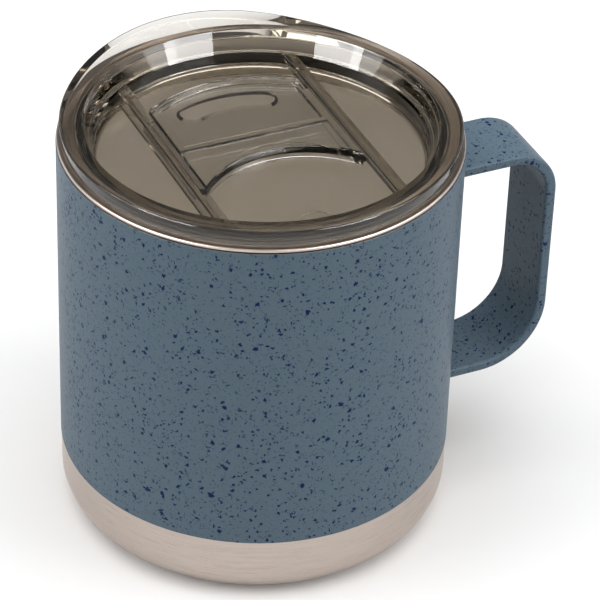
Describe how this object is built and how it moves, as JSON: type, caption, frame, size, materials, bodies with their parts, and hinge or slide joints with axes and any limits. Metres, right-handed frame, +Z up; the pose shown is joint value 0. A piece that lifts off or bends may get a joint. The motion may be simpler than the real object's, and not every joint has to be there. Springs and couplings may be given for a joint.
{
  "type": "insulated mug",
  "caption": "Double-walled steel mug with a speckled coating, a strap handle and a clear press-in drinking lid with a sliding closure.",
  "frame": {"origin": "centre of the flat pad in the middle of the mug's base, on the plane the mug stands on", "axes": "+Z up along the mug's axis, +X from the mug's axis towards the handle, +Y towards the drinking side of the lid"},
  "size_m": [0.1132, 0.088, 0.1003],
  "materials": {
    "coating": "matte speckled powder coat over steel",
    "steel": "satin, brushed round the axis",
    "smoke_plastic": "clear smoke-tinted moulded plastic, polished",
    "silicone": "dark grey silicone",
    "braze": "dark fused braze",
    "getter_metal": "plain sintered metal"
  },
  "bodies": {
    "mug": {"outer_shell": "coating", "inner_liner": "steel", "base_disc": "steel", "vacuum_seal": "braze", "getter": "getter_metal", "handle": "coating"},
    "lid": {"lid_body": "smoke_plastic", "lid_gasket": "silicone"},
    "slider": {"slider": "smoke_plastic"}
  },
  "joints": [
    {"name": "lid_lift", "type": "slide", "parent": "mug", "child": "lid", "axis": [0, 0, 1], "range_m": [0, 0.025]},
    {"name": "slider_travel", "type": "slide", "parent": "lid", "child": "slider", "axis": [0, -1, 0], "range_m": [0, 0.0165]}
  ]
}
